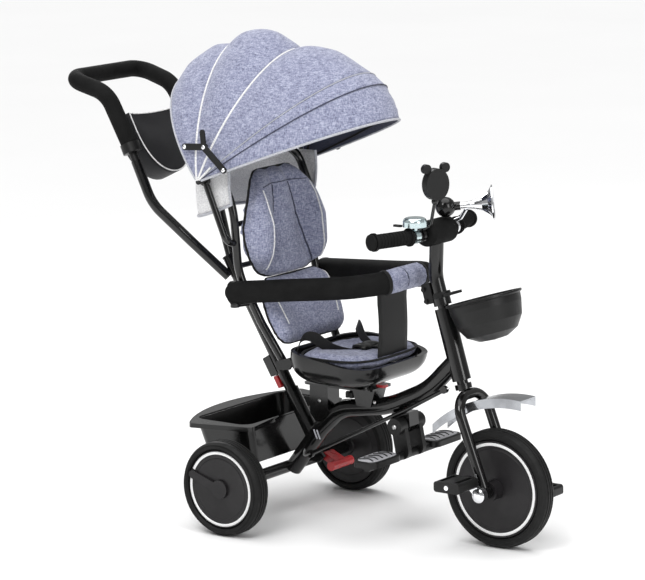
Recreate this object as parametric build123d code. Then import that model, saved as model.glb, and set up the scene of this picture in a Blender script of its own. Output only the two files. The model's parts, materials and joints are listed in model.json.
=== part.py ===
"""Children's tricycle with a parent's push handle, swivel seat and folding canopy.

Millimetres. +X is forward, +Y is the rider's left, +Z is up. The origin is on the ground under the
middle of the object.
"""

from build123d import *
from math import asin, atan2, cos, pi, radians, sin
import os

# Wheels
FRONT_X = 464.0
FRONT_R, FRONT_W = 125.0, 46.0
REAR_X = -78.0
REAR_R, REAR_W = 102.0, 50.0
REAR_Y = 228.0
AXLE_R = 6.0
RUN = 0.05  # radial clearance of a running fit

# Steering axis, raked back
HEAD_LOW = Vector(374, 0, 343)
HEAD_TOP = Vector(331, 0, 491)
HEAD_R = 20.0
STEERER_R = 12.0
FORK_Y = 52.0
FORK_R = 11.0
BAR_Z = 650.0
BAR_X = 316.0
BAR_R = 11.0

# Frame
BEAM_R = 19.0
BEAM_LINE = [(358, 0, 380), (290, 0, 312), (190, 0, 266), (62, 0, 246), (8, 0, 196), (-70, 0, 98)]
AXLE_TUBE_R = 13.0
AXLE_TUBE_HALF = 199.0
BRAKE = (-46.0, 111.0)
POST_LOW = Vector(-28, 0, 200)
POST_TOP = Vector(-235, 0, 548)
POST_R = 12.5
SOCKET_R = 16.0
SOCKET_LENGTH = 86.0

# Seat
SWIVEL_X = 78.0
PLATE_Z = 300.0
KNOB_X = 92.0
PAN_LOW, PAN_REAR, PAN_FRONT = 320.0, 388.0, 366.0
RECLINE = Vector(-10, 0, 352)
RECLINE_Y = 100.0

# Canopy
PIVOT = Vector(-161, 0, 744)
ARM_Y = 166.0
BOW_WIDTH = 190.0
SHEET = 2.5
EYE_T = 2.5

# Push handle
LEG_SPLAY = 110.0
COLLAR = Vector(-414, 0, 800)
LEG_LEAN = 25.0

AXIS = (HEAD_TOP - HEAD_LOW).normalized()
POST_DIR = (POST_TOP - POST_LOW).normalized()
SIDES = (-1, 1)


def put(node, *solids):
    """Write one sub-part, made of one or more separate solids."""
    shape = solids[0] if len(solids) == 1 else Compound(children=list(solids))
    export_step(shape, f"parts/{node}.step")


def tube(points, radius, bends=None, bore=0.0):
    """A bar, or a tube with a bore, along straight runs joined by arcs."""
    path = Polyline(*points) if bends is None else FilletPolyline(*points, radius=bends)
    section = Circle(radius) - Circle(bore) if bore else Circle(radius)
    plane = Plane(origin=path @ 0, z_dir=path % 0)
    return sweep(plane * section, path=path)


def bar(start, end, radius, bore=0.0):
    """A straight round bar or tube between two points."""
    start, end = Vector(start), Vector(end)
    plane = Plane(origin=start, z_dir=end - start)
    section = Circle(radius) - Circle(bore) if bore else Circle(radius)
    return extrude(plane * section, (end - start).length)


def disc_y(x, z, radius, y_from, y_to, bore=0.0):
    """A round piece on a left-right axis."""
    return bar((x, y_from, z), (x, y_to, z), radius, bore)


def spin_y(points, x, y, z):
    """A solid of revolution on a left-right axis, from (radius, offset) points."""
    face = make_face(Polyline(*points, close=True))
    return Pos(x, y, z) * revolve(face, axis=Axis.Y)


def plate(points, y_from, y_to):
    """A flat plate whose outline is drawn in the XZ plane."""
    outline = make_face(Polyline(*[(x, 0, z) for x, z in points], close=True))
    return Pos(0, y_from, 0) * extrude(outline, y_to - y_from, dir=(0, 1, 0))


def link(a, b, radius, y_from, y_to):
    """A flat bar with round ends between two points of the XZ plane."""
    (ax, az), (bx, bz) = a, b
    tilt = atan2(bz - az, bx - ax)
    side = Vector(-sin(tilt), 0, cos(tilt)) * radius
    corners = [Vector(ax, 0, az) + side, Vector(bx, 0, bz) + side]
    corners += [Vector(bx, 0, bz) - side, Vector(ax, 0, az) - side]
    body = plate([(c.X, c.Z) for c in corners], y_from, y_to)
    return body + disc_y(ax, az, radius, y_from, y_to) + disc_y(bx, bz, radius, y_from, y_to)


def on_head(z):
    """The point of the steering axis at a height."""
    return HEAD_LOW + AXIS * ((z - HEAD_LOW.Z) / AXIS.Z)


def on_post(distance):
    return POST_LOW + POST_DIR * distance


# ---------------------------------------------------------------- wheels


def tyre(radius, width, inner, x, y, z):
    """Moulded tyre: crowned tread with three grooves and a stepped sidewall."""
    half = width / 2
    profile = [
        (inner, -half + 6), (inner + 3, -half + 1.5), (inner + 8, -half), (radius - 14, -half),
        (radius - 6, -half + 3), (radius - 1.5, -half + 9),
    ]
    for groove in (-8, 0, 8):
        profile += [(radius - 0.3, groove - 1.5), (radius - 1.8, groove - 0.8)]
        profile += [(radius - 1.8, groove + 0.8), (radius, groove + 1.5)]
    profile += [(r, -offset) for r, offset in reversed(profile[:6])]
    return spin_y(profile, x, y, z)


def wheel_disc(inner, half, hub, hub_half, x, y, z):
    """Wheel centre: two dished covers, a raised ring step and a hub with a running bore."""
    bore = AXLE_R + RUN
    side = [
        (bore, hub_half), (hub, hub_half), (hub + 2, half), (inner - 21, half + 1.5),
        (inner - 19, half + 0.5), (inner - 3, half + 0.5), (inner - 0.2, half - 3),
    ]
    return spin_y([(r, -o) for r, o in side] + list(reversed(side)), x, y, z)


def wheels():
    front_inner, rear_inner = FRONT_R - 20, REAR_R - 16
    put("front_tyre", tyre(FRONT_R, FRONT_W, front_inner, FRONT_X, 0, FRONT_R))
    put("front_wheel_disc", wheel_disc(front_inner, 16, 19, 40, FRONT_X, 0, FRONT_R))
    for side, name in ((-1, "right"), (1, "left")):
        y = side * REAR_Y
        put(f"rear_tyre_{name}", tyre(REAR_R, REAR_W, rear_inner, REAR_X, y, REAR_R))
        disc = wheel_disc(rear_inner, 18, 17, 22, REAR_X, y, REAR_R)
        cover = disc_y(REAR_X, REAR_R, 20, y + side * 16, y + side * 23.5)
        faces = sorted((y + side * 17, y + side * 23.5))
        rib = link((REAR_X, REAR_R), (REAR_X - 71, REAR_R + 24), 9, *faces)
        blind = disc_y(REAR_X, REAR_R, AXLE_R + RUN, y - side * 30, y + side * 15)
        put(f"rear_wheel_disc_{name}", disc + cover + rib - blind)
    rod = disc_y(REAR_X, REAR_R, AXLE_R, -(REAR_Y + 13), REAR_Y + 13)
    put("rear_axle_rod", rod)


# ---------------------------------------------------------------- frame


def frame():
    head = bar(HEAD_LOW, HEAD_TOP, HEAD_R)
    head_bore = bar(HEAD_LOW - AXIS * 5, HEAD_TOP + AXIS * 5, STEERER_R + RUN)
    axle_tube = disc_y(REAR_X, REAR_R, AXLE_TUBE_R, -AXLE_TUBE_HALF, AXLE_TUBE_HALF, AXLE_R)
    beam = tube(BEAM_LINE, BEAM_R, [180, 260, 100, 180], BEAM_R - 2.5)
    beam -= disc_y(REAR_X, REAR_R, AXLE_TUBE_R, -40, 40)
    beam -= bar(HEAD_LOW - AXIS * 5, HEAD_TOP + AXIS * 5, HEAD_R)
    put("main_beam", max(beam.solids(), key=lambda s: s.volume))
    put("head_tube", head - head_bore)
    solid_beam = tube(BEAM_LINE, BEAM_R, [180, 260, 100, 180])
    socket = bar(on_post(-30), on_post(SOCKET_LENGTH), SOCKET_R, POST_R + RUN) - solid_beam
    lug = plate([(-72, 108), (-46, 122), (-36, 112), (-50, 98), (-70, 99)], 66, 74)
    lug += disc_y(BRAKE[0], BRAKE[1], 4, 66, 116)
    put("post_socket", max(socket.solids(), key=lambda s: s.volume))
    put("rear_axle_tube", axle_tube + lug - disc_y(REAR_X, REAR_R, AXLE_R, 60, 80))

    # Seat carrier: two brackets on the beam and a plate with the swivel boss
    rear = plate([(-6, 232), (-6, PLATE_Z), (42, PLATE_Z), (42, 236), (30, 222), (10, 214)], -21, 21)
    rear -= solid_beam
    front = plate([(118, 262), (106, PLATE_Z), (166, PLATE_Z), (154, 262)], -21, 21) - solid_beam
    brackets = [max(piece.solids(), key=lambda s: s.volume) for piece in (rear, front)]
    base = Pos(80, 0, PLATE_Z + 2) * Box(176, 90, 4)
    base = fillet(base.edges().filter_by(Axis.Z), 14)
    base += Pos(SWIVEL_X, 0, PLATE_Z + 8) * Cylinder(46, 8)
    base -= Pos(SWIVEL_X, 0, PLATE_Z) * Cylinder(8 + RUN, 60)
    base -= Pos(KNOB_X, 0, PLATE_Z) * Cylinder(5 + RUN, 7.9)
    for side in SIDES:
        base += Pos(152, side * 11.5, PLATE_Z + 8) * Box(22, 4, 9)
    put("seat_base", base)

    # Footrest hanger under the beam, with the hinge pin
    hanger = plate([(208, 258), (200, 242), (214, 219), (238, 216), (252, 232), (250, 262)], -17, 17)
    hanger -= tube(BEAM_LINE, BEAM_R, [180, 260, 100, 180])
    hanger = max(hanger.solids(), key=lambda s: s.volume)
    hanger += disc_y(232, 234, 6, -46, 46)
    put("frame_brackets", *brackets, hanger)


def tub():
    """Rear storage tray: a deep tapered bin with a wide rolled rim."""
    rim_z, floor_z, wall = 222.0, 134.0, 3.0

    def outline(grow, z):
        back = ThreePointArc((-196 - grow, -200 - grow), (-258 - grow, 0), (-196 - grow, 200 + grow))
        pts = [(-196 - grow, 200 + grow), (-52 + grow, 166 + grow), (-74 + grow, 44), (-74 + grow, -44)]
        pts += [(-52 + grow, -166 - grow), (-196 - grow, -200 - grow)]
        face = make_face(back + Polyline(*pts))
        return Pos(0, 0, z) * face

    rim = extrude(outline(0, rim_z - 10), 10)
    rim = fillet(rim.edges().filter_by(Axis.Z), 12)

    def bin_solid(inset, low, high):
        top = Pos(-146, 0, high) * RectangleRounded(150 - 2 * inset, 316 - 2 * inset, 26)
        bottom = Pos(-138, 0, low) * RectangleRounded(128 - 2 * inset, 276 - 2 * inset, 22)
        return loft([bottom, top])

    body = bin_solid(0, floor_z, rim_z - 4)
    body -= Pos(-62, 0, 170) * Box(20, 60, 160)
    inside = bin_solid(wall, floor_z + wall, rim_z + 0.5)
    skirt = extrude(outline(-3.5, rim_z - 12), 9)
    tray = (rim - skirt) + body - inside
    for side in SIDES:
        tray -= Pos(REAR_X, side * REAR_Y, REAR_R) * Rot(90, 0, 0) * Cylinder(REAR_R + 4, REAR_W + 6)
    put("storage_tub", max(tray.solids(), key=lambda s: s.volume))


def brake():
    """Parking brake pedal, hinged in front of the rear axle on the left."""
    pedal = link(BRAKE, (-16, 97), 8, 78, 112) + disc_y(-14, 95, 10, 60, 134)
    put("brake_pedal", pedal - disc_y(*BRAKE, 4 + RUN, 50, 130))


def footrest():
    """Folding footrest: a drum on the hanger pin, an arm and a cross bar with two plates."""
    drum = disc_y(232, 234, 18, -45, -19) + disc_y(232, 234, 18, 19, 45)
    arm = link((232, 234), (242, 180), 17, -33, -21) + link((232, 234), (242, 180), 17, 21, 33)
    cross = disc_y(242, 172, 9, -160, 160)
    rest = drum + arm + cross - disc_y(232, 234, 6 + RUN, -50, 50)
    for side in SIDES:
        pad = Pos(236, side * 114, 178) * Box(58, 104, 14)
        pad = fillet(pad.edges().filter_by(Axis.Z), 16)
        pad = fillet(pad.edges().group_by(Axis.Z)[-1], 3)
        rest += pad
    put("footrest", rest)


# ---------------------------------------------------------------- front assembly


def fork():
    crown = on_head(316)
    foot = (FRONT_X, 125)
    points = [(foot[0] - 2, -FORK_Y, foot[1] + 6), (crown.X + 10, -FORK_Y, crown.Z)]
    points += [(x, -y, z) for x, y, z in reversed(points)]
    legs = tube(points, FORK_R, 42)
    steerer = bar(on_head(322), on_head(500), STEERER_R)
    fork_body = legs + steerer + bar(on_head(325), on_head(336), 18)
    for side in SIDES:
        fork_body += disc_y(*foot, 14, *sorted((side * 44, side * 62)))
        fork_body -= disc_y(*foot, AXLE_R + RUN, *sorted((side * 42, side * 64)))
    put("fork", fork_body)

    stem_low, bend = on_head(501), on_head(556)
    stem = tube([tuple(stem_low), tuple(bend), (BAR_X, 0, BAR_Z)], 15, 90)
    stem += bar(on_head(497), on_head(520), 19)
    stem -= bar(on_head(480), on_head(500.0), STEERER_R)
    stem -= disc_y(BAR_X, BAR_Z, BAR_R, -30, 30)
    stem = max(stem.solids(), key=lambda s: s.volume)
    clamp = fillet(Box(22, 30, 44).edges().filter_by(Axis.Y), 5)
    clamp = Pos(300, 0, 520) * Rot(0, -16, 0) * clamp - stem
    put("stem", stem)
    clamp = max(clamp.solids(), key=lambda s: s.volume)
    bolts = []
    for z in (508, 532):
        p = on_head(z)
        for side in SIDES:
            bolts.append(disc_y(p.X - 28, z - 4, 4.5, *sorted((side * 15, side * 19))))
    put("stem_clamp", clamp, *bolts)

    fender = fender_band(3, -29, 29) + fender_band(20, -29, -26.5) + fender_band(20, 26.5, 29)
    fender -= fork_body
    put("fender", max(fender.solids(), key=lambda s: s.volume))


def fender_band(deep, y_from, y_to):
    """A band of the front fender, which rises from its rear tip to the fork crown and runs on forward."""
    top = ThreePointArc((-146, 123), (-66, 175), (72, 197))
    low = Pos(0, -deep, 0) * top
    side_face = make_face(top + low + Line(top @ 0, low @ 0) + Line(top @ 1, low @ 1))
    return Pos(FRONT_X, y_to, FRONT_R) * Rot(90, 0, 0) * extrude(side_face, y_to - y_from)


def front_axle():
    """Cranks on one axle through the hub, with a pedal on each end."""
    throw, turn = 41.0, radians(137)
    for side, name in ((-1, "right"), (1, "left")):
        dx, dz = -side * throw * cos(turn), -side * throw * sin(turn)
        x, z = FRONT_X + dx, FRONT_R + dz
        near, far = side * 78, side * 152
        block = Pos(x, side * 116, z) * Box(62, 70, 22)
        block = fillet(block.edges().filter_by(Axis.Y), 6)
        for slot in (-19, 19):
            block -= Pos(x + slot, side * 116, z) * Box(10, 52, 30)
        pin_bore = disc_y(x, z, 5 + RUN, *sorted((side * 70, side * 160)))
        put(f"pedal_{name}", block - pin_bore)
        arm = link((FRONT_X, FRONT_R), (x, z), 9, *sorted((side * 66, near)))
        arm += disc_y(FRONT_X, FRONT_R, 15, *sorted((side * 65, side * 80)))
        arm += disc_y(x, z, 5, *sorted((near, far)))
        axle = axle + arm if name == "left" else arm + disc_y(FRONT_X, FRONT_R, AXLE_R, -70, 70)
    put("crank_axle", axle)


def handlebar_tube():
    half = [(BAR_X, 0, BAR_Z), (BAR_X, -50, BAR_Z), (BAR_X - 9, -84, BAR_Z), (BAR_X - 38, -176, BAR_Z)]
    right = tube(half, BAR_R, [60, 120])
    return right + mirror(right, about=Plane.XZ)


def handlebar():
    bar_tube = handlebar_tube()
    put("handlebar", bar_tube)
    grips = []
    for side in SIDES:
        inner = Vector(BAR_X - 9, side * 84, BAR_Z)
        along = Vector(-29, side * 92, 0).normalized()
        grip = bar(inner, inner + along * 94, 14.5, BAR_R)
        for at in (0, 90):
            grip += bar(inner + along * at, inner + along * (at + 5), 19, BAR_R)
        for ridge in range(9):
            start = inner + along * (14 + 8 * ridge)
            grip += bar(start, start + along * 4, 15.6, BAR_R)
        grip += bar(inner + along * 97, inner + along * 101, 17)
        grips.append(grip - bar_tube)
    put("handlebar_grips", *grips)
    pad = bar((BAR_X, -46, BAR_Z + 1), (BAR_X, 46, BAR_Z + 1), 27)
    pad = fillet(pad.edges(), 9) - bar_tube
    pad -= tube([tuple(on_head(501)), tuple(on_head(556)), (BAR_X, 0, BAR_Z)], 15, 90)
    put("handlebar_pad", max(pad.solids(), key=lambda s: s.volume))


def bell_and_horn():
    bar_tube = handlebar_tube()
    x, y, z = BAR_X - 4, -73, BAR_Z
    clamp = bar((x + 1, y + 6, z), (x - 2, y - 6, z), 14.5)
    stalk = Pos(x, y, z + 16) * Cylinder(6, 10)
    dome = Pos(x, y, z + 21) * Cylinder(25, 7, align=(Align.CENTER, Align.CENTER, Align.MIN))
    cap = Pos(x, y, z + 28) * Cylinder(25, 12, align=(Align.CENTER, Align.CENTER, Align.MIN))
    cap = fillet(cap.edges().group_by(Axis.Z)[-1], 9)
    put("bell", clamp + stalk + dome + cap - bar_tube)
    lever = Pos(x - 33, y - 14, z + 22) * Box(20, 9, 4)
    put("bell_lever", fillet(lever.edges().filter_by(Axis.Z), 3))

    # Horn: bulb, ferrule, black cone and flared chrome mouth, pointing forward on the left
    tail, mouth = Vector(326, 18, 700), Vector(414, 72, 708)
    along = (mouth - tail).normalized()
    plane = Plane(origin=tail, z_dir=along, x_dir=(0, 0, 1))
    profile = [(0, 30), (7, 30), (7, 44), (10, 60), (15, 76), (25, 89), (38, 97), (38, 100)]
    profile += [(33, 98.5), (20, 90), (9, 74), (0, 68)]
    outline = make_face(Polyline(*[(r, 0, s) for r, s in profile], close=True))
    horn = plane * revolve(outline, axis=Axis.Z)
    ring = bar((313.5, 60, BAR_Z), (311, 70, BAR_Z), 15)
    strut = tube([(312, 65, BAR_Z + 12), (336, 60, 672), (362, 42, 696)], 4, 12)
    horn = horn + strut + ring - bar_tube
    bulb = plane * (Sphere(21) + Pos(0, 0, 18) * Cylinder(9, 26))
    put("horn_bulb", bulb - horn)
    put("horn", horn)


def mirror_and_basket():
    """Hand mirror with two round lobes on top, on a thin stalk."""
    foot, neck = Vector(334, -48, 672), Vector(352, -58, 724)
    stalk = tube([(318, -54, BAR_Z + BAR_R + 1), tuple(foot), tuple(neck)], 3.5, 14)
    stalk += bar((BAR_X - 0.5, -51, BAR_Z), (BAR_X - 2, -57, BAR_Z), 14)
    put("mirror_stalk", stalk + Pos(tuple(neck)) * Sphere(7) - handlebar_tube())
    plane = Plane(origin=(356, -60, 760), x_dir=(0.35, 0.937, 0), z_dir=(0.937, -0.35, 0))
    head = extrude(plane * Ellipse(28, 33), 9, both=True)
    for lobe in SIDES:
        head += extrude(plane * (Pos(lobe * 23, 33) * Circle(10)), 5, both=True)
    head -= Pos(tuple(neck)) * Sphere(7 + RUN)
    head = max(head.solids(), key=lambda s: s.volume)
    put("mirror_head", head)

    # Front basket: a bowl with a rolled lip, hung parallel to the steering axis
    out = Vector(AXIS.Z, 0, -AXIS.X)
    rim = on_head(488) + out * 104
    plane = Plane(origin=rim, z_dir=AXIS, x_dir=out)
    outer = [(0, -84), (30, -81), (54, -68), (69, -44), (75, -14), (76, 0), (80, 3), (80, 7)]
    inner = [(72, 7), (72, -12), (66, -42), (52, -64), (29, -77.5), (0, -80.5)]
    face = make_face(Polyline(*[(r, 0, s) for r, s in outer + inner], close=True))
    bowl = plane * revolve(face, axis=Axis.Z) - bar(on_head(300), on_head(700), HEAD_R + 4)
    put("front_basket", max(bowl.solids(), key=lambda s: s.volume))
    hook_at = on_head(512)
    tongue = Pos(*(hook_at + out * 31 + AXIS * 4)) * Rot(0, -16.2, 0) * Box(20, 40, 6)
    hook = bar(hook_at, hook_at + AXIS * 12, 22, 19) + tongue
    hook -= bar(on_head(480), on_head(560), 19) + bowl + Pos(*(hook_at - out * 26)) * Box(40, 60, 60)
    hook = max(hook.solids(), key=lambda s: s.volume)
    put("basket_hook", hook)


# ---------------------------------------------------------------- seat


def pan_section(z, inset):
    return Pos(113, 0, z) * RectangleRounded(220 - 2 * inset, 280 - 2 * inset, 66 - inset * 0.5)


def seat():
    """Moulded bucket pan on a swivel pin, its rim higher at the back."""
    shell = loft([pan_section(PAN_LOW, 38), pan_section(338, 10), pan_section(PAN_REAR, 0)])
    hollow = loft([pan_section(PAN_LOW + 14, 46), pan_section(348, 20), pan_section(PAN_REAR + 1, 8)])
    slope = [(-20, 390), (240, 390), (240, PAN_FRONT), (205, PAN_FRONT), (40, PAN_REAR), (-20, PAN_REAR)]
    slope = plate(slope, -160, 160)
    pan = shell - hollow - slope
    pin = Pos(SWIVEL_X, 0, 0) * Pos(0, 0, 306) * Cylinder(8, 32)
    collar = Pos(SWIVEL_X, 0, 316.5) * Cylinder(40, 8)
    pan = max((pan + pin + collar).solids(), key=lambda s: s.volume)
    for side in SIDES:
        ear = [(-20, 343), (-20, 361), (14, 372), (24, 360), (14, 346)]
        ear = plate(ear, *sorted((side * 112, side * 118)))
        ear += disc_y(RECLINE.X, RECLINE.Z, 4, *sorted((side * 90, side * 118)))
        pan += max((ear - shell).solids(), key=lambda s: s.volume)
    put("seat_pan", pan)
    cushion = loft([pan_section(350, 30), pan_section(372, 14)])
    cushion = fillet(cushion.edges().group_by(Axis.Z)[-1], 8)
    put("seat_cushion", cushion - hollow_clear())

    # Crotch strap: a broad strip from the pan's front edge up to the guard bar
    strap = Pos(205, 0, 450) * Box(3, 92, 140)
    put("crotch_strap", strap)
    belt = [Pos(60, side * 84, 380) * Rot(0, 0, side * 24) * Box(70, 26, 8) for side in SIDES]
    buckle = Pos(128, 0, 381) * Box(44, 60, 14)
    put("seat_belt", *[b - buckle for b in belt], buckle)

    lever = Pos(160, 0, PLATE_Z + 8) * Box(44, 18, 6)
    put("swivel_lever", fillet(lever.edges().filter_by(Axis.Z), 5))
    knob = Pos(KNOB_X, 0, 289) * Cylinder(5, 28) + Pos(KNOB_X, 0, 280) * Cylinder(9, 13)
    for lobe in range(6):
        turn = radians(60 * lobe)
        knob += Pos(KNOB_X + 10 * cos(turn), 10 * sin(turn), 280) * Cylinder(5.5, 11)
    put("seat_knob", knob)


def hollow_clear():
    """Everything outside the pan's hollow, so that the cushion rests inside it."""
    block = Pos(113, 0, 350) * Box(260, 320, 100)
    sections = [pan_section(PAN_LOW + 14, 46.5), pan_section(348, 20.5), pan_section(PAN_REAR + 60, 8.5)]
    return block - loft(sections)


# ---------------------------------------------------------------- backrest


def soft_block(thick, wide, high, corner):
    """A pad standing on edge, with round corners and soft edges."""
    block = fillet(Box(thick, wide, high).edges().filter_by(Axis.X), corner)
    return fillet(block.edges(), 9)


def backrest():
    half = [(RECLINE.X, -RECLINE_Y, RECLINE.Z), (-60, -114, 440), (-104, -132, 545), (-108, -138, 680)]
    half += [(-150, -138, 782)]
    points = half + [(x, -y, z) for x, y, z in reversed(half)]
    hoop = tube(points, 9, [120, 160, 160, 40, 40, 160, 160, 120])
    for side in SIDES:
        y = side * RECLINE_Y
        hoop += disc_y(RECLINE.X, RECLINE.Z, 11, y - 9, y + 9)
        hoop -= disc_y(RECLINE.X, RECLINE.Z, 4 + RUN, y - 20, y + 20)
    cross = [disc_y(-104, z, 6, -130, 130) for z in (560, 650)]
    hoop += cross[0] + cross[1]
    for side in SIDES:
        y = side * ARM_Y
        arm = tube([(PIVOT.X, y, PIVOT.Z), (-106, y, 612), (-106, side * 142, 612)], 7, 20)
        arm += disc_y(PIVOT.X, PIVOT.Z, 11, y - 5, y + 5)
        arm += disc_y(PIVOT.X, PIVOT.Z, 4, *sorted((y, side * 189)))
        hoop += arm
        hoop += bar((-92, side * 162, 486), (-92, side * 162, 534), 7)
        hoop += bar((-92, side * 162, 478), (-92, side * 162, 486), 10)
        hoop += tube([(-92, side * 162, 482), (-92, side * 150, 482), (-80, side * 122, 482)], 6, 10)
    put("backrest_frame", hoop)

    put("back_cushion_low", Pos(-28, 0, 456) * Rot(0, -26, 0) * soft_block(28, 244, 122, 40))
    put("back_cushion_top", Pos(-77, 0, 648) * Rot(0, -6, 0) * soft_block(28, 272, 240, 84))


def guard_bars():
    """Foam covered guard, in two halves hinged at the back, and the cloth sleeve in front."""
    for side, name, joint in ((-1, "right", -28.7), (1, "left", -28.1)):
        path = [(-92, side * 162, 510), (150, side * 110, 533), (236, side * 74, 546)]
        path.append((240, joint - side * 10, 548))
        half = tube(path, 20, [300, 24]) + Pos(-92, side * 162, 510) * Sphere(21)
        half -= Pos(240, joint - side * 20, 548) * Box(80, 40, 60)
        half -= bar((-92, side * 162, 484), (-92, side * 162, 536), 7 + RUN)
        put(f"guard_bar_{name}", half)


# ---------------------------------------------------------------- canopy


def bow_point(radius, width, power, turn, angle):
    """A point of an arched bow: a superellipse in a plane tilted about the canopy pivot."""
    y = -width * abs(cos(turn)) ** (2 / power) * (1 if cos(turn) > 0 else -1)
    s = radius * abs(sin(turn)) ** (2 / power)
    a = radians(angle)
    return (PIVOT.X + s * cos(a), y, PIVOT.Z + s * sin(a))


def bow_line(radius, width, power, angle, foot, count=13):
    """Points along a bow, from foot to foot, where foot is their distance from the pivot's plane."""
    start = asin((foot / radius) ** (power / 2))
    turns = [start + (pi - 2 * start) * i / (count - 1) for i in range(count)]
    return [bow_point(radius, width, power, turn, angle) for turn in turns]


BOWS = {
    "canopy_bow_rear": (128, 255, 2.0),
    "canopy_bow_2": (99, 275, 1.6),
    "canopy_bow_3": (66, 291, 1.85),
    "canopy_bow_front": (24, 379, 2.2),
}


# Inner faces of the bows' eyes, side by side on the canopy pivot
BOW_LANES = (174, 179, 183, 187)


def canopy():
    for y, (name, (angle, radius, power)) in zip(BOW_LANES, BOWS.items()):
        outer = bow_face(radius - 4, y + EYE_T, power, angle, 20)
        inner = bow_face(radius - 10, y, power, angle, 14)
        bow = extrude(outer - inner, 2, both=True)
        a = radians(angle)
        for side in SIDES:
            near = (PIVOT.X, PIVOT.Z)
            end = (PIVOT.X + 16 * cos(a), PIVOT.Z + 16 * sin(a))
            bow += link(near, end, 6, *sorted((side * y, side * (y + EYE_T))))
            bow -= disc_y(*near, 4 + RUN, *sorted((side * 170, side * 200)))
        put(name, bow)
    sheets = {
        "canopy_cloth_rear": [(128, 255, 2.0), (113, 278, 1.8), (99, 275, 1.6)],
        "canopy_cloth_middle": [(99, 275, 1.6), (82, 308, 1.75), (66, 291, 1.85)],
        "canopy_cloth_front": [(66, 291, 1.85), (50, 343, 2.05), (32, 380, 2.2), (20, 379, 2.2)],
    }
    for name, sections in sheets.items():
        outer = loft([bow_face(r, BOW_WIDTH + SHEET, p, a, 26) for a, r, p in sections])
        inner = loft([bow_face(r - SHEET, BOW_WIDTH, p, a, 16) for a, r, p in sections])
        sheet = outer - inner
        put(name, max(sheet.solids(), key=lambda s: s.volume))


def bow_face(radius, width, power, angle, foot):
    """The flat area under a bow, closed by a straight line between its two feet."""
    points = bow_line(radius, width, power, angle, foot)
    return make_face(Spline(*points) + Line(points[-1], points[0]))


def canopy_links():
    """Elbow stays on both sides, outside the cloth."""
    a, b, finger, c = (-187, 818), (-133, 821), (-136, 852), (-82, 776)
    low, high = [], []
    for side in SIDES:
        y0, y1, y2 = side * 195, side * 199, side * 203
        first = link(a, b, 7, *sorted((y0, y1))) - disc_y(*b, 3 + RUN, *sorted((y0, y2)))
        low.append(first + disc_y(*a, 3, *sorted((side * 192.9, side * 201))))
        inside, outside = sorted((y1 + side * 0.3, y2))
        second = link(b, c, 7, inside, outside) + link(b, finger, 6, inside, outside)
        high.append(second + disc_y(*b, 3, *sorted((y0, y1 + side * 0.3))))
    put("stay_link_rear", *low)
    put("stay_link_front", *high)


# ---------------------------------------------------------------- push handle


def push_handle():
    lower = bar(on_post(0), on_post(404), POST_R)
    lower += bar(on_post(404), on_post(408), POST_R + 1)
    lean = radians(LEG_LEAN)
    up = Vector(-sin(lean), 0, cos(lean))
    inner_legs = []
    for side in SIDES:
        y = side * LEG_SPLAY
        tele = Vector(COLLAR.X, y, COLLAR.Z) - up * 42
        straight = tele - up * 100
        points = [(-226, side * 12, 508), (-288, side * 58, 585), tuple(straight), tuple(tele)]
        lower += tube(points, 11, [300, 110])
        lower -= bar(tele - up * 70, tele + up, 9 + RUN)
        inner_legs.append(bar(tele - up * 50, Vector(COLLAR.X, y, COLLAR.Z) + up * 30, 9))

    # Foam covered loop from collar to collar
    corner = Vector(-570.5, 120, 934)
    half = [(COLLAR.X, -LEG_SPLAY, COLLAR.Z), (-470, -112, 905), (corner.X, -corner.Y, corner.Z)]
    points = half + [(x, -y, z) for x, y, z in reversed(half)]
    foam = tube(points, 18.5, [70, 34, 34, 70])
    for leg in inner_legs:
        foam -= leg
    put("handle_foam", max(foam.solids(), key=lambda s: s.volume))
    for number, side in enumerate(SIDES):
        at = Vector(COLLAR.X, side * LEG_SPLAY, COLLAR.Z)
        collar = bar(at - up * 22, at - up * 0.4, 21) - foam
        inner_legs[number] += max(collar.solids(), key=lambda s: s.volume)
    put("handle_legs", *inner_legs)

    # Pouch hung between the legs
    place = Pos(-427, 0, 784) * Rot(0, -LEG_LEAN, 0)
    pouch = fillet(Box(58, 172, 150).edges().filter_by(Axis.X).group_by(Axis.Z)[0], 40)
    mouth = Pos(0, 0, 10) * Box(52, 160, 140)
    mouth = fillet(mouth.edges().filter_by(Axis.X).group_by(Axis.Z)[0], 36)
    put("handle_pouch", place * (pouch - mouth))

    at = on_post(150)
    back = Vector(-POST_DIR.Z, 0, POST_DIR.X)
    bracket = Plane(origin=at + back * 16, z_dir=POST_DIR, x_dir=back) * Box(20, 26, 44)
    put("push_post", lower + bracket)
    lever = fillet(Box(10, 18, 28).edges().filter_by(Axis.Y), 3)
    plane = Plane(origin=at + back * 19 - POST_DIR * 38, z_dir=POST_DIR, x_dir=back)
    put("release_lever", plane * lever)


def steering_rod():
    """Rod beside the main beam that joins the push handle to the fork."""
    front, bend, rear = (352, -32, 326), (257, -32, 273), (2, -32, 145)
    rod = tube([front, bend, rear], 4.5, 300)
    for x, _, z in (front, rear):
        rod += disc_y(x, z, 8, -37, -28)
    put("steering_rod", rod)


def build():
    os.makedirs("parts", exist_ok=True)
    wheels()
    frame()
    tub()
    brake()
    footrest()
    fork()
    front_axle()
    handlebar()
    bell_and_horn()
    mirror_and_basket()
    seat()
    backrest()
    guard_bars()
    canopy()
    canopy_links()
    push_handle()
    steering_rod()


build()
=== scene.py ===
"""Looks of the children's tricycle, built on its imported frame. Metres, in the row's frame."""

import json
from math import cos, pi, radians, sin

import bpy
import numpy as np
from mathutils import Matrix, Vector, noise
from mathutils.bvhtree import BVHTree


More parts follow.
